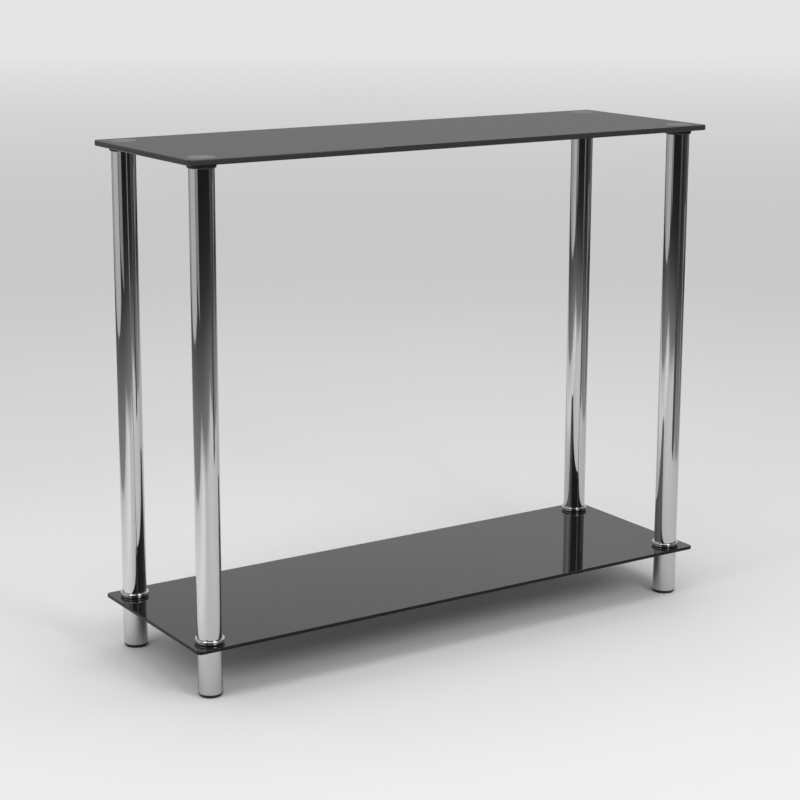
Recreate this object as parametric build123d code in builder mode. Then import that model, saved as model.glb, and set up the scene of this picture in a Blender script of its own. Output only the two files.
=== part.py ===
"""Console table: a black glass top and a lower black glass shelf on four chromed tube legs.

Millimetres, +Z up. X runs along the length and Y across the depth, with the front long edge at -Y.
The origin is on the floor under the middle of the table.

Each leg is a stack, from the floor up: a foot glide pressed into a short lower tube, a threaded
plug welded in that tube's top, a gasket, the shelf glass with a nylon sleeve in its hole, another
gasket, a chromed collar, and the long upper tube with a threaded plug in each end. One headless
stud joins the two tubes through the shelf. At the top, a steel disc bonded under the glass has a
stud that screws down through a black cap into the upper tube.
"""

import os

from build123d import *

# Overall size
TABLE_LENGTH = 900.0
TABLE_DEPTH = 300.0
TABLE_HEIGHT = 760.0

# Glass panes
TOP_THICKNESS = 8.0
SHELF_THICKNESS = 5.0
SHELF_TOP_HEIGHT = 78.5
PANE_CORNER_RADIUS = 8.0
TOP_ARRIS = 1.0
SHELF_ARRIS = 0.7
SHELF_HOLE_RADIUS = 6.0

# Legs: where their axes stand, and the tube
LEG_INSET_X = 33.5
LEG_INSET_Y = 30.5
TUBE_RADIUS = 17.75
TUBE_WALL = 1.2
TUBE_BORE_RADIUS = TUBE_RADIUS - TUBE_WALL
TUBE_END_BREAK = 0.3

# M8 fastening
STUD_RADIUS = 4.0
CLEARANCE_RADIUS = 4.2
STUD_END_CHAMFER = 0.8
PLUG_THICKNESS = 6.0
PLUG_CHAMFER = 0.5
JOINT_STUD_LENGTH = 34.0

# Foot glide
FOOT_HEIGHT = 5.0
FOOT_BASE_RADIUS = 15.6
FOOT_BAND_HEIGHT = 1.6
FOOT_PLUG_LENGTH = 15.0
FOOT_SKIN = 2.2
FOOT_EDGE_RADIUS = 0.8

# Shelf joint
GASKET_THICKNESS = 0.8
GASKET_RADIUS = 17.2
SLEEVE_RADIUS = 5.9
COLLAR_HEIGHT = 6.0
COLLAR_FLOOR = 1.7
COLLAR_BASE_RADIUS = 20.1
COLLAR_NECK_RADIUS = 19.5
COLLAR_NECK_HEIGHT = 1.9
COLLAR_BEAD_RADIUS = 1.9
COLLAR_RADIUS = 21.5
COLLAR_POCKET_RADIUS = 18.0
COLLAR_EDGE_BREAK = 0.4

# Top joint
DISC_RADIUS = 19.0
DISC_THICKNESS = 2.5
DISC_EDGE_BREAK = 0.4
TOP_STUD_LENGTH = 27.5
CAP_RADIUS = 20.3
CAP_HEIGHT = 6.5
CAP_EDGE_RADIUS = 2.2
CAP_RECESS_RADIUS = 19.2
CAP_PLUG_LENGTH = 10.0
CAP_PLUG_CHAMFER = 1.0

# Heights worked out from the stack
foot_plug_top = FOOT_HEIGHT + FOOT_PLUG_LENGTH
top_underside = TABLE_HEIGHT - TOP_THICKNESS
cap_base = top_underside - CAP_HEIGHT
shelf_underside = SHELF_TOP_HEIGHT - SHELF_THICKNESS
lower_tube_top = shelf_underside - GASKET_THICKNESS
collar_base = SHELF_TOP_HEIGHT + GASKET_THICKNESS
upper_tube_base = collar_base + COLLAR_FLOOR
joint_stud_base = (shelf_underside + SHELF_TOP_HEIGHT - JOINT_STUD_LENGTH) / 2
bead_centre_radius = COLLAR_RADIUS - COLLAR_BEAD_RADIUS
bead_centre_height = COLLAR_HEIGHT - COLLAR_BEAD_RADIUS

leg_x = TABLE_LENGTH / 2 - LEG_INSET_X
leg_y = TABLE_DEPTH / 2 - LEG_INSET_Y
CORNERS = {
    "front_left": (-leg_x, -leg_y),
    "front_right": (leg_x, -leg_y),
    "back_left": (-leg_x, leg_y),
    "back_right": (leg_x, leg_y),
}

os.makedirs("parts", exist_ok=True)


def leg_plane(corner, height):
    """The horizontal plane on a leg's axis at a height above the floor."""
    x, y = CORNERS[corner]
    return Plane((x, y, height))


def profile_plane(corner, height):
    """The upright plane through a leg's axis, for outlines that are turned about it."""
    x, y = CORNERS[corner]
    return Plane(origin=(x, y, height), x_dir=(1, 0, 0), z_dir=(0, -1, 0))


def leg_axis(corner):
    x, y = CORNERS[corner]
    return Axis((x, y, 0), (0, 0, 1))


def make_top_glass():
    """The upper pane: polished edges and rounded corners, with no holes."""
    with BuildPart() as top_glass:
        with BuildSketch(Plane.XY.offset(top_underside)):
            RectangleRounded(TABLE_LENGTH, TABLE_DEPTH, PANE_CORNER_RADIUS)
        extrude(amount=TOP_THICKNESS)
        rims = top_glass.faces().filter_by(Axis.Z).edges()
        chamfer(rims, length=TOP_ARRIS)
    top_glass.part.label = "top_glass"
    export_step(top_glass.part, "parts/top_glass.step")


def make_shelf_glass():
    """The lower pane, with one hole for the stud of each leg."""
    with BuildPart() as shelf_glass:
        with BuildSketch(Plane.XY.offset(shelf_underside)):
            RectangleRounded(TABLE_LENGTH, TABLE_DEPTH, PANE_CORNER_RADIUS)
        extrude(amount=SHELF_THICKNESS)
        rims = shelf_glass.faces().filter_by(Axis.Z).edges()
        chamfer(rims, length=SHELF_ARRIS)
        with BuildSketch(Plane.XY.offset(shelf_underside)):
            with GridLocations(2 * leg_x, 2 * leg_y, 2, 2):
                Circle(SHELF_HOLE_RADIUS)
        extrude(amount=SHELF_THICKNESS, mode=Mode.SUBTRACT)
    shelf_glass.part.label = "shelf_glass"
    export_step(shelf_glass.part, "parts/shelf_glass.step")


def make_tube(corner, base, top, name):
    """A length of round tube, open at both ends, with its cut edges broken."""
    with BuildPart() as tube:
        with BuildSketch(leg_plane(corner, base)):
            Circle(TUBE_RADIUS)
            Circle(TUBE_BORE_RADIUS, mode=Mode.SUBTRACT)
        extrude(amount=top - base)
        outer_rims = tube.edges().filter_by(GeomType.CIRCLE).group_by(SortBy.RADIUS)[-1]
        chamfer(outer_rims, length=TUBE_END_BREAK)
    tube.part.label = f"{name}_{corner}"
    export_step(tube.part, f"parts/{tube.part.label}.step")


def make_plug(corner, base, name):
    """A steel plug welded in a tube's end, with a thread for an M8 stud along its axis."""
    with BuildPart() as plug:
        with BuildSketch(leg_plane(corner, base)):
            Circle(TUBE_BORE_RADIUS)
            Circle(STUD_RADIUS, mode=Mode.SUBTRACT)
        extrude(amount=PLUG_THICKNESS)
        outer_rims = plug.edges().filter_by(GeomType.CIRCLE).group_by(SortBy.RADIUS)[-1]
        chamfer(outer_rims, length=PLUG_CHAMFER)
    plug.part.label = f"{name}_{corner}"
    export_step(plug.part, f"parts/{plug.part.label}.step")


def make_gasket(corner, base, name):
    """A thin soft washer between glass and metal."""
    with BuildPart() as gasket:
        with BuildSketch(leg_plane(corner, base)):
            Circle(GASKET_RADIUS)
            Circle(CLEARANCE_RADIUS, mode=Mode.SUBTRACT)
        extrude(amount=GASKET_THICKNESS)
    gasket.part.label = f"{name}_{corner}"
    export_step(gasket.part, f"parts/{gasket.part.label}.step")


def make_sleeve(corner):
    """The nylon sleeve that keeps the stud off the glass, as long as the glass is thick."""
    with BuildPart() as sleeve:
        with BuildSketch(leg_plane(corner, shelf_underside)):
            Circle(SLEEVE_RADIUS)
            Circle(CLEARANCE_RADIUS, mode=Mode.SUBTRACT)
        extrude(amount=SHELF_THICKNESS)
    sleeve.part.label = f"shelf_sleeve_{corner}"
    export_step(sleeve.part, f"parts/{sleeve.part.label}.step")


def make_joint_stud(corner):
    """The headless stud that draws the upper and lower tubes together through the shelf."""
    with BuildPart() as stud:
        with BuildSketch(leg_plane(corner, joint_stud_base)):
            Circle(STUD_RADIUS)
        extrude(amount=JOINT_STUD_LENGTH)
        chamfer(stud.edges().filter_by(GeomType.CIRCLE), length=STUD_END_CHAMFER)
    stud.part.label = f"joint_stud_{corner}"
    export_step(stud.part, f"parts/{stud.part.label}.step")


def make_collar(corner):
    """The chromed collar on the shelf: a floor, a narrow foot, a neck and a rounded bead."""
    with BuildPart() as collar:
        with BuildSketch(profile_plane(corner, collar_base)):
            with BuildLine():
                Polyline(
                    (CLEARANCE_RADIUS, 0),
                    (COLLAR_BASE_RADIUS - COLLAR_EDGE_BREAK, 0),
                    (COLLAR_BASE_RADIUS, COLLAR_EDGE_BREAK),
                    (COLLAR_NECK_RADIUS, COLLAR_NECK_HEIGHT),
                    (bead_centre_radius, bead_centre_height - COLLAR_BEAD_RADIUS),
                )
                ThreePointArc(
                    (bead_centre_radius, bead_centre_height - COLLAR_BEAD_RADIUS),
                    (COLLAR_RADIUS, bead_centre_height),
                    (bead_centre_radius, COLLAR_HEIGHT),
                )
                Polyline(
                    (bead_centre_radius, COLLAR_HEIGHT),
                    (COLLAR_POCKET_RADIUS + COLLAR_EDGE_BREAK, COLLAR_HEIGHT),
                    (COLLAR_POCKET_RADIUS, COLLAR_HEIGHT - COLLAR_EDGE_BREAK),
                    (COLLAR_POCKET_RADIUS, COLLAR_FLOOR),
                    (CLEARANCE_RADIUS, COLLAR_FLOOR),
                    (CLEARANCE_RADIUS, 0),
                )
            make_face()
        revolve(axis=leg_axis(corner))
    collar.part.label = f"collar_{corner}"
    export_step(collar.part, f"parts/{collar.part.label}.step")


def make_foot(corner):
    """The plastic glide: a tapered flange under the tube and a hollow plug pressed up inside it."""
    with BuildPart() as foot:
        with BuildSketch(profile_plane(corner, 0)):
            with BuildLine():
                Polyline(
                    (0, 0),
                    (FOOT_BASE_RADIUS, 0),
                    (TUBE_RADIUS, FOOT_HEIGHT - FOOT_BAND_HEIGHT),
                    (TUBE_RADIUS, FOOT_HEIGHT),
                    (TUBE_BORE_RADIUS, FOOT_HEIGHT),
                    (TUBE_BORE_RADIUS, foot_plug_top - PLUG_CHAMFER),
                    (TUBE_BORE_RADIUS - PLUG_CHAMFER, foot_plug_top),
                    (TUBE_BORE_RADIUS - FOOT_SKIN, foot_plug_top),
                    (TUBE_BORE_RADIUS - FOOT_SKIN, FOOT_HEIGHT - FOOT_SKIN),
                    (0, FOOT_HEIGHT - FOOT_SKIN),
                    close=True,
                )
            make_face()
        revolve(axis=leg_axis(corner))
        floor_rim = foot.edges().filter_by(GeomType.CIRCLE).group_by(Axis.Z)[0]
        fillet(floor_rim, radius=FOOT_EDGE_RADIUS)
    foot.part.label = f"foot_glide_{corner}"
    export_step(foot.part, f"parts/{foot.part.label}.step")


def make_top_disc(corner):
    """The steel disc bonded under the top pane, with its stud pointing down."""
    with BuildPart() as disc:
        with BuildSketch(leg_plane(corner, top_underside - DISC_THICKNESS)):
            Circle(DISC_RADIUS)
        extrude(amount=DISC_THICKNESS)
        chamfer(disc.edges().group_by(Axis.Z)[0], length=DISC_EDGE_BREAK)
        with BuildSketch(leg_plane(corner, top_underside - DISC_THICKNESS)):
            Circle(STUD_RADIUS)
        extrude(amount=-TOP_STUD_LENGTH)
        chamfer(disc.edges().group_by(Axis.Z)[0], length=STUD_END_CHAMFER)
    disc.part.label = f"top_disc_{corner}"
    export_step(disc.part, f"parts/{disc.part.label}.step")


def make_top_cap(corner):
    """The black cap: a flange that hides the disc, and a plug that centres it in the tube."""
    with BuildPart() as cap:
        with BuildSketch(leg_plane(corner, cap_base)):
            Circle(CAP_RADIUS)
        extrude(amount=CAP_HEIGHT)
        fillet(cap.edges().group_by(Axis.Z)[0], radius=CAP_EDGE_RADIUS)
        with BuildSketch(leg_plane(corner, cap_base)):
            Circle(TUBE_BORE_RADIUS)
        extrude(amount=-CAP_PLUG_LENGTH)
        chamfer(cap.edges().group_by(Axis.Z)[0], length=CAP_PLUG_CHAMFER)
        with BuildSketch(leg_plane(corner, top_underside)):
            Circle(CAP_RECESS_RADIUS)
        extrude(amount=-DISC_THICKNESS, mode=Mode.SUBTRACT)
        with BuildSketch(leg_plane(corner, top_underside)):
            Circle(CLEARANCE_RADIUS)
        extrude(amount=-(CAP_HEIGHT + CAP_PLUG_LENGTH), mode=Mode.SUBTRACT)
    cap.part.label = f"top_cap_{corner}"
    export_step(cap.part, f"parts/{cap.part.label}.step")


make_top_glass()
make_shelf_glass()
for corner in CORNERS:
    make_foot(corner)
    make_tube(corner, FOOT_HEIGHT, lower_tube_top, "lower_leg")
    make_plug(corner, lower_tube_top - PLUG_THICKNESS, "lower_leg_plug")
    make_gasket(corner, lower_tube_top, "lower_gasket")
    make_sleeve(corner)
    make_gasket(corner, SHELF_TOP_HEIGHT, "upper_gasket")
    make_collar(corner)
    make_joint_stud(corner)
    make_tube(corner, upper_tube_base, cap_base, "upper_leg")
    make_plug(corner, upper_tube_base, "upper_leg_bottom_plug")
    make_plug(corner, cap_base - CAP_PLUG_LENGTH - PLUG_THICKNESS, "upper_leg_top_plug")
    make_top_cap(corner)
    make_top_disc(corner)
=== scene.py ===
"""Console table: black glass top and shelf on chromed tube legs, in a plain studio.

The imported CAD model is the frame. Every visible piece is made again here with finer rims, arrises
and rounded edges, at the size and place that the frame gives, and stands for its CAD node. Metres,
+Z up, X along the table's length, Y across its depth.
"""

import math

import bmesh
import bpy
from mathutils import Euler, Matrix, Vector


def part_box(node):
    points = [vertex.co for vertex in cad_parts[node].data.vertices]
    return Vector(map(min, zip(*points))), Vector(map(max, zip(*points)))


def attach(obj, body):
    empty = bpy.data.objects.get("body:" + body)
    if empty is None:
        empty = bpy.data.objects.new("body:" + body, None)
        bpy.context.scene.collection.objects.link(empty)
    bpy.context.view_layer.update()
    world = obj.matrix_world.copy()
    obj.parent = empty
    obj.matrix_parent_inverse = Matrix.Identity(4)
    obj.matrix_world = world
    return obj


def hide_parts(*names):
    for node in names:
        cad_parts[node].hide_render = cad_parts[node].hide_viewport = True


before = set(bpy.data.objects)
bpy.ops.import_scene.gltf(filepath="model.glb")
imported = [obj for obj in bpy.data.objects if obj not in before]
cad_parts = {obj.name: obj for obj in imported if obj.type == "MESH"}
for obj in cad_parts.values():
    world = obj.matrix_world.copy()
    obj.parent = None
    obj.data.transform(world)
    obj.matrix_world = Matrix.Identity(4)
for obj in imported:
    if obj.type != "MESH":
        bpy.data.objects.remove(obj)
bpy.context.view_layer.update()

BODY = "root"
MM = 0.001
CORNERS = ("front_left", "front_right", "back_left", "back_right")

# Panes
CORNER_RADIUS = 8.0 * MM
CORNER_STEPS = 14
TOP_ARRIS = 1.0 * MM
SHELF_ARRIS = 0.7 * MM
ARRIS_ROUNDING = 0.25 * MM
HOLE_STEPS = 48
HOLE_CLEARANCE = 0.1 * MM

# Turned pieces
TURN_STEPS = 128
ROUNDING_STEPS = 5
POLE_RADIUS = 0.0001 * MM

# Shading: long faces get support points this close to their ends, and sharper folds show as edges
MARGIN = 0.08 * MM
EDGE_ANGLE = 32
TUBE_EDGE_ANGLE = 8

# Tubes
TUBE_WALL = 1.2 * MM
TUBE_RIM_ROUNDING = 0.3 * MM

# Collars, from the shelf up
COLLAR_FLOOR = 1.7 * MM
COLLAR_FOOT_RADIUS = 20.1 * MM
COLLAR_FOOT_HEIGHT = 2.2 * MM
COLLAR_FOOT_ROUNDING = 1.0 * MM
COLLAR_BASE_ROUNDING = 0.3 * MM
COLLAR_WAIST_RADIUS = 18.9 * MM
COLLAR_BEAD_RADIUS = 1.9 * MM
COLLAR_BEAD_STEPS = 24
COLLAR_POCKET_RADIUS = 18.0 * MM
COLLAR_POCKET_ROUNDING = 0.4 * MM
STUD_CLEARANCE_RADIUS = 4.2 * MM

# Caps
CAP_PLUG_LENGTH = 10.0 * MM
CAP_PLUG_ROUNDING = 1.0 * MM
CAP_LOWER_ROUNDING = 2.2 * MM
CAP_UPPER_ROUNDING = 0.3 * MM
CAP_RECESS_RADIUS = 19.2 * MM
CAP_RECESS_DEPTH = 2.5 * MM
CAP_RECESS_ROUNDING = 0.2 * MM

# Foot glides
FOOT_HEIGHT = 5.0 * MM
FOOT_BASE_RADIUS = 15.6 * MM
FOOT_BASE_ROUNDING = 0.8 * MM
FOOT_BAND_HEIGHT = 1.6 * MM
FOOT_BAND_ROUNDING = 1.2 * MM
FOOT_BAND_TOP_ROUNDING = 0.2 * MM
FOOT_SKIN = 2.2 * MM
FOOT_PLUG_ROUNDING = 0.5 * MM
FOOT_HOLLOW_ROUNDING = 0.8 * MM

# Glass, and the bonded discs seen faintly through the top pane
GLASS_IOR = 1.52
TOP_EDGE_SHADE = 0.034
SHELF_EDGE_SHADE = 0.004
DISC_RADIUS = 19.0 * MM
DISC_BLUR = 1.0 * MM
DISC_COLOUR = (0.16, 0.16, 0.165)


def leg_axis(corner):
    """Where a leg's axis stands on the floor."""
    low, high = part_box(f"upper_leg_{corner}")
    return (low.x + high.x) / 2, (low.y + high.y) / 2


def turned_radius(node):
    """The outer radius of a turned CAD node."""
    low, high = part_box(node)
    return (high.x - low.x) / 2


# --- Outlines -----------------------------------------------------------------------------------


def rounded_outline(corners, closed=True):
    """A polyline with arcs at its corners. Each corner is (a, b, rounding radius)."""
    points = []
    count = len(corners)
    for index, (a, b, radius) in enumerate(corners):
        here = Vector((a, b))
        if radius == 0 or (not closed and index in (0, count - 1)):
            points.append(here)
            continue
        back = (Vector(corners[index - 1][:2]) - here).normalized()
        ahead = (Vector(corners[(index + 1) % count][:2]) - here).normalized()
        half = back.angle(ahead) / 2
        reach = radius / math.tan(half)
        centre = here + (back + ahead).normalized() * radius / math.sin(half)
        start = here + back * reach - centre
        bends_left = back.y * ahead.x - back.x * ahead.y > 0
        turn = (math.pi - 2 * half) * (1 if bends_left else -1)
        for step in range(ROUNDING_STEPS + 1):
            angle = turn * step / ROUNDING_STEPS
            c, s = math.cos(angle), math.sin(angle)
            points.append(centre + Vector((c * start.x - s * start.y, s * start.x + c * start.y)))
    return [(p.x, p.y) for p in points]


def with_margins(outline, closed=True):
    """The outline with points added close to the ends of its long runs, to keep those runs flat."""
    points = []
    following = outline[1:] + outline[:1] if closed else outline[1:] + outline[-1:]
    for here, there in zip(outline, following):
        points.append(here)
        run = Vector(there) - Vector(here)
        if run.length > 6 * MARGIN:
            step = run.normalized() * MARGIN
            points.append((here[0] + step.x, here[1] + step.y))
            points.append((there[0] - step.x, there[1] - step.y))
    return points


def arc_points(centre, radius, start, end, steps):
    """Points on an arc, angles in degrees."""
    points = []
    for step in range(steps + 1):
        angle = math.radians(start + (end - start) * step / steps)
        points.append((centre[0] + radius * math.cos(angle), centre[1] + radius * math.sin(angle)))
    return points


# --- Mesh making --------------------------------------------------------------------------------


def finished_piece(name, mesh, materials, slot, *nodes, edge_angle=EDGE_ANGLE):
    """Link a mesh as a piece that rides on the table and stands for its CAD nodes."""
    for material in materials:
        if material.name not in mesh.materials:
            mesh.materials.append(material)
    mesh.shade_smooth()
    mesh.set_sharp_from_angle(angle=math.radians(edge_angle))
    piece = bpy.data.objects.new(name, mesh)
    bpy.context.scene.collection.objects.link(piece)
    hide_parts(*nodes)
    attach(piece, BODY)
    return piece


def mesh_from(bm, name):
    """The finished mesh of a bmesh, with its normals outward."""
    bmesh.ops.recalc_face_normals(bm, faces=bm.faces)
    mesh = bpy.data.meshes.new(name)
    bm.to_mesh(mesh)
    bm.free()
    return mesh


def turned_mesh(name, outline, axis):
    """A closed outline of (radius, height) turned about an upright axis. Radius 0 makes a pole."""
    bm = bmesh.new()
    rings = []
    for radius, height in with_margins(outline):
        if radius < POLE_RADIUS:
            rings.append([bm.verts.new((axis[0], axis[1], height))])
            continue
        ring = []
        for step in range(TURN_STEPS):
            angle = 2 * math.pi * step / TURN_STEPS
            x = axis[0] + radius * math.cos(angle)
            y = axis[1] + radius * math.sin(angle)
            ring.append(bm.verts.new((x, y, height)))
        rings.append(ring)
    for ring, after in zip(rings, rings[1:] + rings[:1]):
        if len(ring) == 1 and len(after) == 1:
            continue
        for step in range(TURN_STEPS):
            following = (step + 1) % TURN_STEPS
            loop = [ring[step % len(ring)], ring[following % len(ring)]]
            loop += [after[following % len(after)], after[step % len(after)]]
            bm.faces.new(list(dict.fromkeys(loop)))
    return mesh_from(bm, name)


def pane_loop(half_length, half_depth, inset, height):
    """One turn round a rounded rectangle, inset from the pane's outermost outline."""
    radius = CORNER_RADIUS - inset
    reach_x, reach_y = half_length - CORNER_RADIUS, half_depth - CORNER_RADIUS
    places = []
    for quarter, (sx, sy) in enumerate(((1, 1), (-1, 1), (-1, -1), (1, -1))):
        centre = (sx * reach_x, sy * reach_y)
        arc = arc_points(centre, radius, 90 * quarter, 90 * quarter + 90, CORNER_STEPS)
        places += [(x, y, height) for x, y in arc]
    return places


def rim_edges(bm, ring):
    """The edges between neighbours of a closed ring of vertices."""
    edges = []
    for vert, after in zip(ring, ring[1:] + ring[:1]):
        edges.append(bm.edges.get((vert, after)) or bm.edges.new((vert, after)))
    return edges


def pane_mesh(name, node, arris, holes=(), hole_radius=0):
    """A pane with flat faces, polished arrises and rounded corners, centred as its node is."""
    low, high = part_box(node)
    half_length, half_depth = (high.x - low.x) / 2, (high.y - low.y) / 2
    edge = rounded_outline(
        [
            (arris + 2 * ARRIS_ROUNDING, low.z, 0),
            (arris, low.z, ARRIS_ROUNDING),
            (0, low.z + arris, ARRIS_ROUNDING),
            (0, high.z - arris, ARRIS_ROUNDING),
            (arris, high.z, ARRIS_ROUNDING),
            (arris + 2 * ARRIS_ROUNDING, high.z, 0),
        ],
        closed=False,
    )
    bm = bmesh.new()
    loops = []
    for inset, height in with_margins(edge, closed=False):
        loops.append([bm.verts.new(p) for p in pane_loop(half_length, half_depth, inset, height)])
    count = len(loops[0])
    for loop, after in zip(loops, loops[1:]):
        for step in range(count):
            following = (step + 1) % count
            wall = bm.faces.new((loop[step], loop[following], after[following], after[step]))
            upright = low.z + arris < wall.calc_center_median().z < high.z - arris
            wall.material_index = 1 if upright else 0
    rims = {low.z: list(loops[0]), high.z: list(loops[-1])}
    walls = []
    for x, y in holes:
        rings = []
        for height in rims:
            ring = arc_points((x, y), hole_radius, 0, 360, HOLE_STEPS)[:-1]
            rings.append([bm.verts.new((a, b, height)) for a, b in ring])
        walls.append(rings)
        for step in range(HOLE_STEPS):
            following = (step + 1) % HOLE_STEPS
            lower, upper = rings
            bm.faces.new((lower[step], upper[step], upper[following], lower[following]))
    for level, height in enumerate(rims):
        edges = rim_edges(bm, rims[height])
        for rings in walls:
            edges += rim_edges(bm, rings[level])
        if walls:
            bmesh.ops.triangle_fill(bm, edges=edges, use_beauty=True)
        else:
            bm.faces.new(rims[height])
    return mesh_from(bm, name)


# --- Tube tree ----------------------------------------------------------------------------------


def node_in(tree, kind, **inputs):
    """A node with its unlinked inputs set by name."""
    node = tree.nodes.new(kind)
    for name, value in inputs.items():
        node.inputs[name.replace("_", " ")].default_value = value
    return node


def tube_tree(material):
    """A round tube with rounded rims: a filleted rectangle carried round a circle."""
    tree = bpy.data.node_groups.new("round_tube", "GeometryNodeTree")
    sizes = ("Outer radius", "Wall", "Base height", "Top height", "Axis X", "Axis Y", "Rim rounding")
    for name in sizes:
        tree.interface.new_socket(name=name, in_out="INPUT", socket_type="NodeSocketFloat")
    tree.interface.new_socket(name="Tube", in_out="OUTPUT", socket_type="NodeSocketGeometry")
    given = tree.nodes.new("NodeGroupInput").outputs
    link = tree.links.new

    def math_node(operation, first, second):
        node = tree.nodes.new("ShaderNodeMath")
        node.operation = operation
        for socket, value in zip(node.inputs, (first, second)):
            if isinstance(value, (int, float)):
                socket.default_value = value
            else:
                link(value, socket)
        return node.outputs["Value"]

    height = math_node("SUBTRACT", given["Top height"], given["Base height"])
    half_wall = math_node("MULTIPLY", given["Wall"], 0.5)
    middle_radius = math_node("SUBTRACT", given["Outer radius"], half_wall)
    centre_height = math_node(
        "MULTIPLY", math_node("ADD", given["Top height"], given["Base height"]), 0.5
    )

    wall_section = tree.nodes.new("GeometryNodeCurvePrimitiveQuadrilateral")
    link(given["Wall"], wall_section.inputs["Width"])
    link(height, wall_section.inputs["Height"])
    rims = tree.nodes.new("GeometryNodeFilletCurve")
    rims.mode = "POLY"
    rims.inputs["Count"].default_value = ROUNDING_STEPS
    link(wall_section.outputs["Curve"], rims.inputs["Curve"])
    link(given["Rim rounding"], rims.inputs["Radius"])
    path = node_in(tree, "GeometryNodeCurvePrimitiveCircle", Resolution=TURN_STEPS)
    link(middle_radius, path.inputs["Radius"])
    wall = tree.nodes.new("GeometryNodeCurveToMesh")
    link(path.outputs["Curve"], wall.inputs["Curve"])
    link(rims.outputs["Curve"], wall.inputs["Profile Curve"])

    place = tree.nodes.new("ShaderNodeCombineXYZ")
    link(given["Axis X"], place.inputs["X"])
    link(given["Axis Y"], place.inputs["Y"])
    link(centre_height, place.inputs["Z"])
    stand = tree.nodes.new("GeometryNodeTransform")
    link(wall.outputs["Mesh"], stand.inputs["Geometry"])
    link(place.outputs["Vector"], stand.inputs["Translation"])
    realize = tree.nodes.new("GeometryNodeRealizeInstances")
    link(stand.outputs["Geometry"], realize.inputs["Geometry"])
    finish = node_in(tree, "GeometryNodeSetMaterial", Material=material)
    link(realize.outputs["Geometry"], finish.inputs["Geometry"])
    link(finish.outputs["Geometry"], tree.nodes.new("NodeGroupOutput").inputs["Tube"])
    return tree


def mesh_from_tree(name, tree, values):
    """The mesh that a Geometry Nodes tree makes with these values on its named inputs."""
    carrier = bpy.data.objects.new("carrier", bpy.data.meshes.new("carrier"))
    bpy.context.scene.collection.objects.link(carrier)
    modifier = carrier.modifiers.new("maker", "NODES")
    modifier.node_group = tree
    for socket in tree.interface.items_tree:
        if socket.in_out == "INPUT":
            modifier[socket.identifier] = values[socket.name]
    graph = bpy.context.evaluated_depsgraph_get()
    mesh = bpy.data.meshes.new_from_object(carrier.evaluated_get(graph))
    mesh.name = name
    bpy.data.objects.remove(carrier)
    return mesh


# --- Materials ----------------------------------------------------------------------------------


class Finish:
    """A Principled material on Object coordinates, with short ways to add patterns to it."""

    def __init__(self, name, **sockets):
        self.material = bpy.data.materials.new(name)
        self.material.use_nodes = True
        self.tree = self.material.node_tree
        self.shader = self.tree.nodes["Principled BSDF"]
        for socket, value in sockets.items():
            self.shader.inputs[socket.replace("_", " ")].default_value = value
        self.place = self.tree.nodes.new("ShaderNodeTexCoord").outputs["Object"]

    def link(self, output, node, socket):
        """Join an output to a node's input."""
        self.tree.links.new(output, node.inputs[socket])

    def stretched(self, scale):
        """Object coordinates, scaled differently along X, Y and Z."""
        mapping = self.tree.nodes.new("ShaderNodeMapping")
        mapping.inputs["Scale"].default_value = scale
        self.link(self.place, mapping, "Vector")
        return mapping.outputs["Vector"]

    def noise(self, scale, detail=3.0, roughness=0.5, place=None):
        """An even, cloudy pattern. The scale is in waves per metre."""
        node = self.tree.nodes.new("ShaderNodeTexNoise")
        node.inputs["Scale"].default_value = scale
        node.inputs["Detail"].default_value = detail
        node.inputs["Roughness"].default_value = roughness
        self.link(place or self.place, node, "Vector")
        return node.outputs["Fac"]

    def between(self, value, low, high, start=0.3, end=0.7):
        """A pattern's value, spread between two numbers."""
        node = self.tree.nodes.new("ShaderNodeMapRange")
        limits = {"From Min": start, "From Max": end, "To Min": low, "To Max": high}
        for socket, number in limits.items():
            node.inputs[socket].default_value = number
        self.link(value, node, "Value")
        return node.outputs["Result"]

    def colours(self, value, first, second):
        """A colour between two, chosen by a pattern. The first may be another pattern's colour."""
        node = self.tree.nodes.new("ShaderNodeMix")
        node.data_type = "RGBA"
        if isinstance(first, tuple):
            node.inputs["A"].default_value = (*first, 1)
        else:
            self.link(first, node, "A")
        node.inputs["B"].default_value = (*second, 1)
        self.link(value, node, "Factor")
        return node.outputs["Result"]

    def bump(self, value, height, strength=1.0):
        """A pattern as fine relief, with its height in metres."""
        node = self.tree.nodes.new("ShaderNodeBump")
        node.inputs["Strength"].default_value = strength
        node.inputs["Distance"].default_value = height
        self.link(value, node, "Height")
        self.link(node.outputs["Normal"], self.shader, "Normal")

    def set(self, socket, value):
        """Let a pattern drive one of the shader's sockets."""
        self.link(value, self.shader, socket)


def math_step(finish, operation, first, second=None):
    """One step of arithmetic in a finish's tree."""
    node = finish.tree.nodes.new("ShaderNodeMath")
    node.operation = operation
    for index, value in enumerate((first, second)):
        if value is None:
            continue
        if isinstance(value, (int, float)):
            node.inputs[index].default_value = value
        else:
            finish.tree.links.new(value, node.inputs[index])
    return node.outputs["Value"]


def disc_pattern(glass, disc_axis):
    """1 over the four bonded discs and 0 elsewhere, mirrored about the table's middle."""
    split = glass.tree.nodes.new("ShaderNodeSeparateXYZ")
    glass.link(glass.place, split, "Vector")
    squares = []
    for direction, reach in zip("XY", disc_axis):
        outward = math_step(glass, "ABSOLUTE", split.outputs[direction])
        offset = math_step(glass, "SUBTRACT", outward, reach)
        squares.append(math_step(glass, "MULTIPLY", offset, offset))
    distance = math_step(glass, "SQRT", math_step(glass, "ADD", *squares))
    return glass.between(distance, 1.0, 0.0, DISC_RADIUS - DISC_BLUR, DISC_RADIUS + DISC_BLUR)


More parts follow.
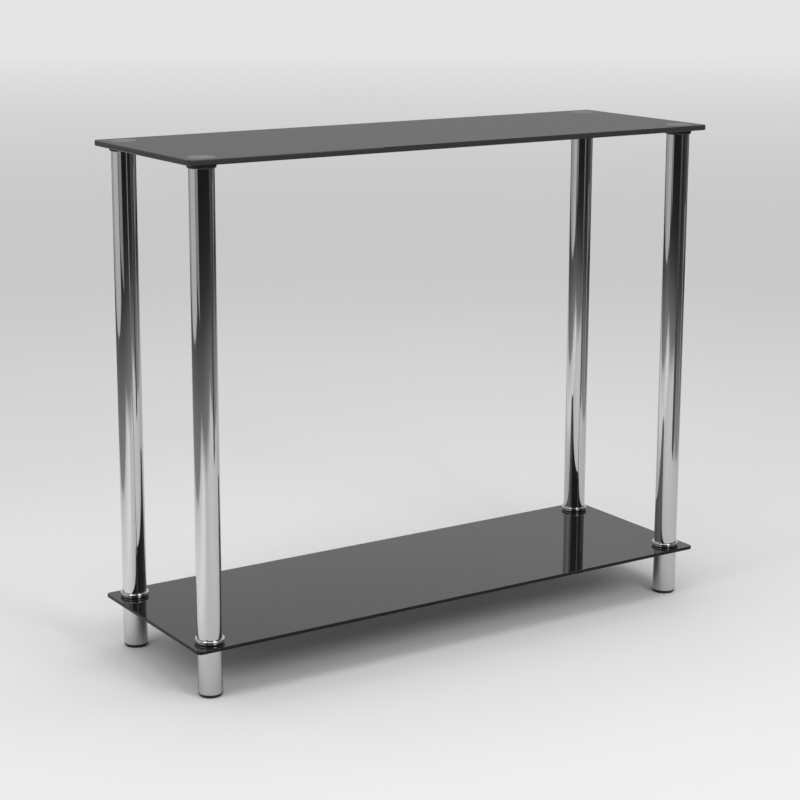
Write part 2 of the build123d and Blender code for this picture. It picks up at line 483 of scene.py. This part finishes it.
def black_glass(name, disc_axis=None):
    """Toughened black glass: a hard clear gloss over black, with a faint wave from the rollers."""
    glass = Finish(name, IOR=GLASS_IOR)
    wave = glass.noise(6.0, detail=1.0, place=glass.stretched((0.4, 1.6, 1.0)))
    glass.bump(wave, 0.05 * MM, 0.25)
    handling = glass.noise(9.0, detail=5.0, roughness=0.6)
    glass.set("Roughness", glass.between(handling, 0.012, 0.035))
    tint = glass.colours(glass.noise(3.0), (0.010, 0.010, 0.011), (0.013, 0.013, 0.014))
    if disc_axis:
        tint = glass.colours(disc_pattern(glass, disc_axis), tint, DISC_COLOUR)
    glass.set("Base Color", tint)
    return glass.material


def glass_edge(name, shade):
    """The ground edge of black glass, a little greyer and softer than the faces."""
    edge = Finish(name, IOR=GLASS_IOR, Specular_IOR_Level=0.25)
    streaks = edge.noise(240.0, detail=4.0, place=edge.stretched((1.0, 1.0, 14.0)))
    edge.set("Roughness", edge.between(streaks, 0.26, 0.38))
    light, dark = (shade * 1.15,) * 3, (shade * 0.85,) * 3
    edge.set("Base Color", edge.colours(edge.noise(60.0), dark, light))
    edge.bump(streaks, 0.01 * MM, 0.2)
    return edge.material


def chrome(name, grain):
    """Bright chrome plate, with the faint lines that polishing leaves along the grain."""
    plate = Finish(name, Metallic=1.0)
    lines = plate.noise(1.0, detail=3.0, place=plate.stretched(grain))
    plate.set("Roughness", plate.between(lines, 0.030, 0.065))
    clouds = plate.noise(14.0, detail=4.0)
    plate.set("Base Color", plate.colours(clouds, (0.735, 0.740, 0.750), (0.775, 0.780, 0.790)))
    plate.bump(lines, 0.004 * MM, 0.15)
    return plate.material


def black_plastic():
    """Moulded black plastic with a fine spark-eroded grain."""
    plastic = Finish("black_plastic")
    grain = plastic.noise(2600.0, detail=2.0)
    plastic.set("Roughness", plastic.between(plastic.noise(120.0), 0.38, 0.52))
    plastic.set("Base Color", plastic.colours(grain, (0.010, 0.010, 0.010), (0.017, 0.017, 0.018)))
    plastic.bump(grain, 0.03 * MM, 0.35)
    return plastic.material


def zinc_steel():
    """Zinc-plated steel, with a mottled passivated surface."""
    zinc = Finish("zinc_plated_steel", Metallic=1.0)
    mottle = zinc.noise(160.0, detail=5.0, roughness=0.65)
    zinc.set("Roughness", zinc.between(mottle, 0.24, 0.42))
    zinc.set("Base Color", zinc.colours(mottle, (0.55, 0.56, 0.57), (0.68, 0.68, 0.66)))
    zinc.bump(zinc.noise(900.0), 0.01 * MM, 0.3)
    return zinc.material


def natural_nylon():
    """Uncoloured nylon, slightly cloudy."""
    nylon = Finish("natural_nylon", Subsurface_Weight=0.1)
    cloud = nylon.noise(180.0)
    nylon.set("Roughness", nylon.between(cloud, 0.35, 0.5))
    nylon.set("Base Color", nylon.colours(cloud, (0.74, 0.73, 0.69), (0.82, 0.81, 0.77)))
    nylon.bump(cloud, 0.02 * MM, 0.3)
    return nylon.material


def gasket_rubber():
    """Matt black rubber with a fine speckle."""
    rubber = Finish("gasket_rubber")
    speckle = rubber.noise(1500.0, detail=3.0)
    rubber.set("Roughness", rubber.between(speckle, 0.7, 0.85))
    rubber.set("Base Color", rubber.colours(speckle, (0.016, 0.016, 0.016), (0.028, 0.028, 0.029)))
    rubber.bump(speckle, 0.02 * MM, 0.4)
    return rubber.material


# --- Pieces -------------------------------------------------------------------------------------


def make_top_pane():
    """The top has no holes: its discs are bonded to its underside."""
    edge = glass_edge("ground_edge_top", TOP_EDGE_SHADE)
    glass = black_glass("black_glass_top", disc_axis=[abs(a) for a in leg_axis("front_left")])
    mesh = pane_mesh("top_pane", "top_glass", TOP_ARRIS)
    finished_piece("top_pane", mesh, (glass, edge), "black_glass", "top_glass")


def make_shelf_pane():
    """The shelf has a sleeved hole for each leg's stud."""
    edge = glass_edge("ground_edge_shelf", SHELF_EDGE_SHADE)
    glass = black_glass("black_glass_shelf")
    holes = [leg_axis(corner) for corner in CORNERS]
    hole_radius = turned_radius("shelf_sleeve_front_left") + HOLE_CLEARANCE
    mesh = pane_mesh("shelf_pane", "shelf_glass", SHELF_ARRIS, holes, hole_radius)
    finished_piece("shelf_pane", mesh, (glass, edge), "black_glass", "shelf_glass")


def make_tube(tree, node, name, plate):
    """A leg tube at its node's size, open at both ends."""
    low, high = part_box(node)
    values = {
        "Outer radius": (high.x - low.x) / 2,
        "Wall": TUBE_WALL,
        "Base height": low.z,
        "Top height": high.z,
        "Axis X": (low.x + high.x) / 2,
        "Axis Y": (low.y + high.y) / 2,
        "Rim rounding": TUBE_RIM_ROUNDING,
    }
    mesh = mesh_from_tree(name, tree, values)
    finished_piece(name, mesh, (plate,), "chromed_tube", node, edge_angle=TUBE_EDGE_ANGLE)


def make_collar(corner, plate):
    """A narrow foot on the shelf, a neck, and a round bead about the tube's end."""
    node = f"collar_{corner}"
    low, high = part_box(node)
    bead_centre = (turned_radius(node) - COLLAR_BEAD_RADIUS, high.z - COLLAR_BEAD_RADIUS)
    foot_top = low.z + COLLAR_FOOT_HEIGHT
    floor = low.z + COLLAR_FLOOR
    mouth_depth = 2 * COLLAR_POCKET_ROUNDING
    outline = rounded_outline(
        [
            (STUD_CLEARANCE_RADIUS, floor, 0),
            (STUD_CLEARANCE_RADIUS, low.z, 0),
            (COLLAR_FOOT_RADIUS, low.z, COLLAR_BASE_ROUNDING),
            (COLLAR_FOOT_RADIUS, foot_top, COLLAR_FOOT_ROUNDING),
            (COLLAR_WAIST_RADIUS, foot_top, 0),
        ],
        closed=False,
    )
    outline += arc_points(bead_centre, COLLAR_BEAD_RADIUS, -100, 90, COLLAR_BEAD_STEPS)
    outline += rounded_outline(
        [
            (COLLAR_POCKET_RADIUS + mouth_depth, high.z, 0),
            (COLLAR_POCKET_RADIUS, high.z, COLLAR_POCKET_ROUNDING),
            (COLLAR_POCKET_RADIUS, high.z - mouth_depth, 0),
            (COLLAR_POCKET_RADIUS, floor, 0),
        ],
        closed=False,
    )
    mesh = turned_mesh(node, outline, leg_axis(corner))
    finished_piece(f"chrome_collar_{corner}", mesh, (plate,), "chromed_collar", node)


def make_cap(corner, plastic):
    """A flange that holds the bonded disc in its recess, with a plug down the tube."""
    node = f"top_cap_{corner}"
    low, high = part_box(node)
    flange = turned_radius(node)
    plug = turned_radius(f"upper_leg_top_plug_{corner}")
    shoulder = low.z + CAP_PLUG_LENGTH
    recess_floor = high.z - CAP_RECESS_DEPTH
    outline = rounded_outline(
        [
            (STUD_CLEARANCE_RADIUS, recess_floor, 0),
            (STUD_CLEARANCE_RADIUS, low.z, 0),
            (plug, low.z, CAP_PLUG_ROUNDING),
            (plug, shoulder, 0),
            (flange, shoulder, CAP_LOWER_ROUNDING),
            (flange, high.z, CAP_UPPER_ROUNDING),
            (CAP_RECESS_RADIUS, high.z, CAP_RECESS_ROUNDING),
            (CAP_RECESS_RADIUS, recess_floor, 0),
        ]
    )
    mesh = turned_mesh(node, outline, leg_axis(corner))
    finished_piece(f"black_cap_{corner}", mesh, (plastic,), "black_plastic", node)


def make_foot(corner, plastic):
    """A tapered glide under the tube with a hollow plug up inside it."""
    node = f"foot_glide_{corner}"
    low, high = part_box(node)
    tube = turned_radius(node)
    plug = turned_radius(f"lower_leg_plug_{corner}")
    hollow = plug - FOOT_SKIN
    flange_top = low.z + FOOT_HEIGHT
    hollow_floor = flange_top - FOOT_SKIN
    outline = rounded_outline(
        [
            (0, low.z, 0),
            (FOOT_BASE_RADIUS, low.z, FOOT_BASE_ROUNDING),
            (tube, flange_top - FOOT_BAND_HEIGHT, FOOT_BAND_ROUNDING),
            (tube, flange_top, FOOT_BAND_TOP_ROUNDING),
            (plug, flange_top, 0),
            (plug, high.z, FOOT_PLUG_ROUNDING),
            (hollow, high.z, FOOT_PLUG_ROUNDING),
            (hollow, hollow_floor, FOOT_HOLLOW_ROUNDING),
            (0, hollow_floor, 0),
        ]
    )
    mesh = turned_mesh(node, outline, leg_axis(corner))
    finished_piece(f"black_foot_{corner}", mesh, (plastic,), "black_plastic", node)


def dress_hidden_nodes():
    """The pieces inside the legs keep their CAD shape and get their own finishes."""
    zinc, nylon, rubber = zinc_steel(), natural_nylon(), gasket_rubber()
    finishes = {
        "top_disc": zinc,
        "upper_leg_top_plug": zinc,
        "upper_leg_bottom_plug": zinc,
        "lower_leg_plug": zinc,
        "joint_stud": zinc,
        "shelf_sleeve": nylon,
        "upper_gasket": rubber,
        "lower_gasket": rubber,
    }
    for kind, material in finishes.items():
        for corner in CORNERS:
            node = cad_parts[f"{kind}_{corner}"]
            node.data.materials.clear()
            node.data.materials.append(material)


def make_table():
    """All the pieces, in the order they are put together: glass first, then each leg."""
    make_top_pane()
    make_shelf_pane()
    tube_plate = chrome("chromed_tube", (700.0, 700.0, 5.0))
    collar_plate = chrome("chromed_collar", (260.0, 260.0, 900.0))
    plastic = black_plastic()
    tree = tube_tree(tube_plate)
    for corner in CORNERS:
        make_tube(tree, f"upper_leg_{corner}", f"upper_tube_{corner}", tube_plate)
        make_tube(tree, f"lower_leg_{corner}", f"lower_tube_{corner}", tube_plate)
        make_collar(corner, collar_plate)
        make_cap(corner, plastic)
        make_foot(corner, plastic)
    dress_hidden_nodes()


# --- Studio -------------------------------------------------------------------------------------

# Camera, angles in degrees
CAMERA_AZIMUTH = -33.233
CAMERA_DROP = 12.082
CAMERA_ROLL = 0.175
CAMERA_PLACE = (-1.6614, -2.5040, 1.0707)
LENS_MM = 90.63
SHIFT_Y = -0.0625

# Level directions away from the camera and to its right
heading = math.radians(CAMERA_AZIMUTH)
ahead = Vector((-math.sin(heading), math.cos(heading), 0))
aside = Vector((ahead.y, -ahead.x, 0))

# Floor. The camera sees it fade into the pale world between the two horizon distances
FLOOR_RADIUS = 14.0
FLOOR_COLOUR = (0.80, 0.80, 0.80)
FLOOR_SPECKLE = (0.816, 0.816, 0.816)
HORIZON_START = 3.0
HORIZON_END = 13.3

# The white sweep that the chrome mirrors: where its sides and its front edge fade out, in metres,
# and its painted light from left to right over twice the reach, a painted pool of light on its left
SWEEP_SIDES = (1.20, 1.30)
SWEEP_FRONT = (-1.80, -1.42)
SWEEP_REACH = 1.5
SWEEP_PAINTED_LIGHT = (
    (0.10, 0.62),
    (0.25, 0.80),
    (0.29, 0.78),
    (0.36, 0.60),
    (0.42, 0.545),
    (0.50, 0.57),
    (0.55, 0.60),
    (0.90, 0.56),
)

# The studio floor round the sweep, with painted shade that darkens it with distance from the table
SURROUND_REACH = 6.0
SURROUND_PAINTED_FALLOFF = (
    (0.22, 0.28),
    (0.33, 0.206),
    (0.42, 0.139),
    (0.50, 0.081),
    (0.58, 0.050),
    (0.70, 0.032),
    (1.0, 0.02),
)

# The studio's walls as glossy surfaces mirror them, from the horizon (0) to overhead (1). The wall
# behind the camera gives way to the one ahead between the two cosines of WALL_TURN
WALL_BEHIND = ((0.0, 0.02), (0.70, 0.02), (0.90, 0.30), (1.0, 0.40))
WALL_AHEAD = ((0.0, 0.23), (0.12, 0.305), (0.30, 0.68), (0.60, 0.50), (1.0, 0.40))
WALL_TURN = (-0.20, 0.25)
FILL_COLOUR = (0.65, 0.65, 0.65, 1)
BACKDROP_COLOUR = (0.78, 0.78, 0.78, 1)


def make_camera():
    """A long lens at standing height, level apart from a slight roll."""
    data = bpy.data.cameras.new("camera")
    data.lens = LENS_MM
    data.shift_y = SHIFT_Y
    camera = bpy.data.objects.new("camera", data)
    camera.location = CAMERA_PLACE
    upright = Euler((math.radians(90 - CAMERA_DROP), 0, math.radians(CAMERA_AZIMUTH))).to_matrix()
    camera.rotation_euler = (upright @ Matrix.Rotation(math.radians(CAMERA_ROLL), 3, "Z")).to_euler()
    bpy.context.scene.collection.objects.link(camera)
    bpy.context.scene.camera = camera


def studio_place(right, forward, height=0.0):
    """A place in the studio, measured from the table's middle to the camera's right and ahead."""
    return aside * right + ahead * forward + Vector((0, 0, height))


def make_softbox(name, place, target, size, power):
    """A rectangular light aimed at a target. The camera doesn't see it, but reflections do."""
    data = bpy.data.lights.new(name, "AREA")
    data.shape = "RECTANGLE"
    data.size, data.size_y = size
    data.energy = power
    light = bpy.data.objects.new(name, data)
    light.location = place
    light.rotation_euler = (Vector(target) - Vector(place)).to_track_quat("-Z", "Y").to_euler()
    light.visible_camera = False
    bpy.context.scene.collection.objects.link(light)


def make_flat(name, start, end, bottom, top, strength):
    """An upright studio flat between two places (right, forward), seen only in reflections."""
    corners = [
        studio_place(*start, bottom),
        studio_place(*end, bottom),
        studio_place(*end, top),
        studio_place(*start, top),
    ]
    mesh = bpy.data.meshes.new(name)
    mesh.from_pydata([tuple(c) for c in corners], [], [(0, 1, 2, 3)])
    material = bpy.data.materials.new(name)
    material.use_nodes = True
    nodes = material.node_tree.nodes
    nodes.remove(nodes["Principled BSDF"])
    glow = nodes.new("ShaderNodeEmission")
    glow.inputs["Strength"].default_value = strength
    material.node_tree.links.new(glow.outputs["Emission"], nodes["Material Output"].inputs["Surface"])
    mesh.materials.append(material)
    wall = bpy.data.objects.new(name, mesh)
    bpy.context.scene.collection.objects.link(wall)
    wall.visible_camera = False
    wall.visible_diffuse = False
    wall.visible_shadow = False
    wall.visible_transmission = False


def graded(nodes, value, stops):
    """A value ramp: stops are (place, brightness)."""
    ramp = nodes.new("ShaderNodeValToRGB")
    nodes.id_data.links.new(value, ramp.inputs["Fac"])
    elements = ramp.color_ramp.elements
    for index, (place, brightness) in enumerate(stops):
        stop = elements[index] if index < 2 else elements.new(place)
        stop.position = place
        stop.color = (brightness, brightness, brightness, 1)
    return ramp.outputs["Color"]


def make_floor():
    """A pale floor. In reflections it is a white sweep with a painted pool of light on its left,
    and painted shade that darkens the studio floor round it with distance.

    It is clear to a camera under it, so that the table's underside can be looked at.
    """
    bm = bmesh.new()
    bmesh.ops.create_circle(bm, cap_ends=True, segments=96, radius=FLOOR_RADIUS)
    mesh = bpy.data.meshes.new("studio_floor")
    bm.to_mesh(mesh)
    bm.free()
    floor = Finish("studio_floor")
    nodes = floor.tree.nodes
    floor.tree.nodes.remove(floor.shader)
    speckle = floor.noise(3.0, detail=4.0)
    pale = nodes.new("ShaderNodeBsdfDiffuse")
    floor.link(floor.colours(speckle, FLOOR_COLOUR, FLOOR_SPECKLE), pale, "Color")

    def along(direction):
        node = nodes.new("ShaderNodeVectorMath")
        node.operation = "DOT_PRODUCT"
        node.inputs[1].default_value = direction
        floor.link(floor.place, node, 0)
        return node.outputs["Value"]

    across = along(tuple(aside))
    off_side = math_step(floor, "ABSOLUTE", across)
    in_width = floor.between(off_side, 1.0, 0.0, *SWEEP_SIDES)
    in_depth = floor.between(along(tuple(ahead)), 0.0, 1.0, *SWEEP_FRONT)
    sweep = math_step(floor, "MULTIPLY", in_width, in_depth)
    length = nodes.new("ShaderNodeVectorMath")
    length.operation = "LENGTH"
    floor.link(floor.place, length, 0)
    distance = length.outputs["Value"]
    # Painted shade: the floor seen in reflections darkens with distance from the table
    painted_falloff = graded(nodes, math_step(floor, "DIVIDE", distance, SURROUND_REACH), SURROUND_PAINTED_FALLOFF)
    shade = nodes.new("ShaderNodeMix")
    shade.data_type = "RGBA"
    # Painted light: across the sweep, a pool of light brighter on the left
    left_to_right = floor.between(across, 0.0, 1.0, -SWEEP_REACH, SWEEP_REACH)
    floor.link(graded(nodes, left_to_right, SWEEP_PAINTED_LIGHT), shade, "B")
    floor.link(painted_falloff, shade, "A")
    floor.link(sweep, shade, "Factor")
    mirrored = nodes.new("ShaderNodeBsdfDiffuse")
    floor.link(shade.outputs["Result"], mirrored, "Color")

    rays = nodes.new("ShaderNodeLightPath")
    surface = nodes.new("ShaderNodeMixShader")
    floor.link(rays.outputs["Is Glossy Ray"], surface, 0)
    floor.link(pale.outputs["BSDF"], surface, 1)
    floor.link(mirrored.outputs["BSDF"], surface, 2)
    clear = nodes.new("ShaderNodeBsdfTransparent")
    fade = nodes.new("ShaderNodeMixShader")
    horizon = floor.between(distance, 0.0, 1.0, HORIZON_START, HORIZON_END)
    under = nodes.new("ShaderNodeNewGeometry").outputs["Backfacing"]
    unseen = math_step(floor, "MAXIMUM", horizon, under)
    floor.link(math_step(floor, "MULTIPLY", unseen, rays.outputs["Is Camera Ray"]), fade, 0)
    floor.link(surface.outputs["Shader"], fade, 1)
    floor.link(clear.outputs["BSDF"], fade, 2)
    floor.link(fade.outputs["Shader"], nodes["Material Output"], "Surface")
    mesh.materials.append(floor.material)
    plane = bpy.data.objects.new("studio_floor", mesh)
    bpy.context.scene.collection.objects.link(plane)


def make_world():
    """Pale to the camera and even as a fill. To glossy surfaces it is bright ahead, dark behind."""
    world = bpy.data.worlds.new("studio")
    world.use_nodes = True
    bpy.context.scene.world = world
    tree = world.node_tree
    nodes, link = tree.nodes, tree.links.new
    nodes.clear()
    rays = nodes.new("ShaderNodeLightPath")
    direction = nodes.new("ShaderNodeTexCoord").outputs["Generated"]
    split = nodes.new("ShaderNodeSeparateXYZ")
    link(direction, split.inputs["Vector"])

    rise = split.outputs["Z"]
    behind = graded(nodes, rise, WALL_BEHIND)
    in_front = graded(nodes, rise, WALL_AHEAD)
    forward = nodes.new("ShaderNodeVectorMath")
    forward.operation = "DOT_PRODUCT"
    forward.inputs[1].default_value = tuple(ahead)
    link(direction, forward.inputs[0])
    facing = nodes.new("ShaderNodeMapRange")
    facing.interpolation_type = "SMOOTHSTEP"
    facing.inputs["From Min"].default_value = WALL_TURN[0]
    facing.inputs["From Max"].default_value = WALL_TURN[1]
    link(forward.outputs["Value"], facing.inputs["Value"])
    around = nodes.new("ShaderNodeMix")
    around.data_type = "RGBA"
    link(facing.outputs["Result"], around.inputs["Factor"])
    link(behind, around.inputs["A"])
    link(in_front, around.inputs["B"])

    glossy = nodes.new("ShaderNodeBackground")
    link(around.outputs["Result"], glossy.inputs["Color"])
    fill = nodes.new("ShaderNodeBackground")
    fill.inputs["Color"].default_value = FILL_COLOUR
    pale = nodes.new("ShaderNodeBackground")
    pale.inputs["Color"].default_value = BACKDROP_COLOUR
    kind = nodes.new("ShaderNodeMixShader")
    link(rays.outputs["Is Glossy Ray"], kind.inputs[0])
    link(fill.outputs["Background"], kind.inputs[1])
    link(glossy.outputs["Background"], kind.inputs[2])
    seen = nodes.new("ShaderNodeMixShader")
    link(rays.outputs["Is Camera Ray"], seen.inputs[0])
    link(kind.outputs["Shader"], seen.inputs[1])
    link(pale.outputs["Background"], seen.inputs[2])
    link(seen.outputs["Shader"], nodes.new("ShaderNodeOutputWorld").inputs["Surface"])


def make_studio():
    """Floor, world, flats that give the chrome its bands, and three softboxes."""
    make_floor()
    make_world()
    make_flat("left_flat_near", (-2.2, -1.6), (-2.2, 0.4), bottom=0.11, top=2.0, strength=0.50)
    make_flat("left_flat_far", (-2.2, 0.4), (-2.4, 4.0), bottom=0.11, top=2.0, strength=0.36)
    make_flat("left_card", (-0.70, -1.05), (-1.50, -1.20), bottom=0.37, top=0.88, strength=0.26)
    make_flat("right_flat_near", (3.0, -0.7), (3.0, 1.2), bottom=0.05, top=2.0, strength=0.055)
    make_flat("right_flat_far", (3.0, 1.2), (3.0, 4.0), bottom=0.05, top=2.0, strength=0.16)
    make_flat("right_card", (0.90, -0.70), (1.08, -0.38), bottom=0.0, top=0.9, strength=0.07)
    make_flat("right_strip", (1.40, 0.28), (1.40, 0.38), bottom=0.0, top=0.5, strength=0.5)
    middle = (0, 0, 0.5)
    left, right = studio_place(-1.10, -1.15, 1.45), studio_place(1.40, -1.55, 1.75)
    make_softbox("overhead_softbox", (0, 0, 2.9), (0, 0, 0), size=(2.4, 2.0), power=18)
    make_softbox("left_softbox", left, middle, size=(0.6, 1.1), power=6)
    make_softbox("right_softbox", right, middle, size=(0.9, 1.0), power=15)
    bpy.context.scene.view_settings.view_transform = "Standard"


make_table()
make_studio()
make_camera()
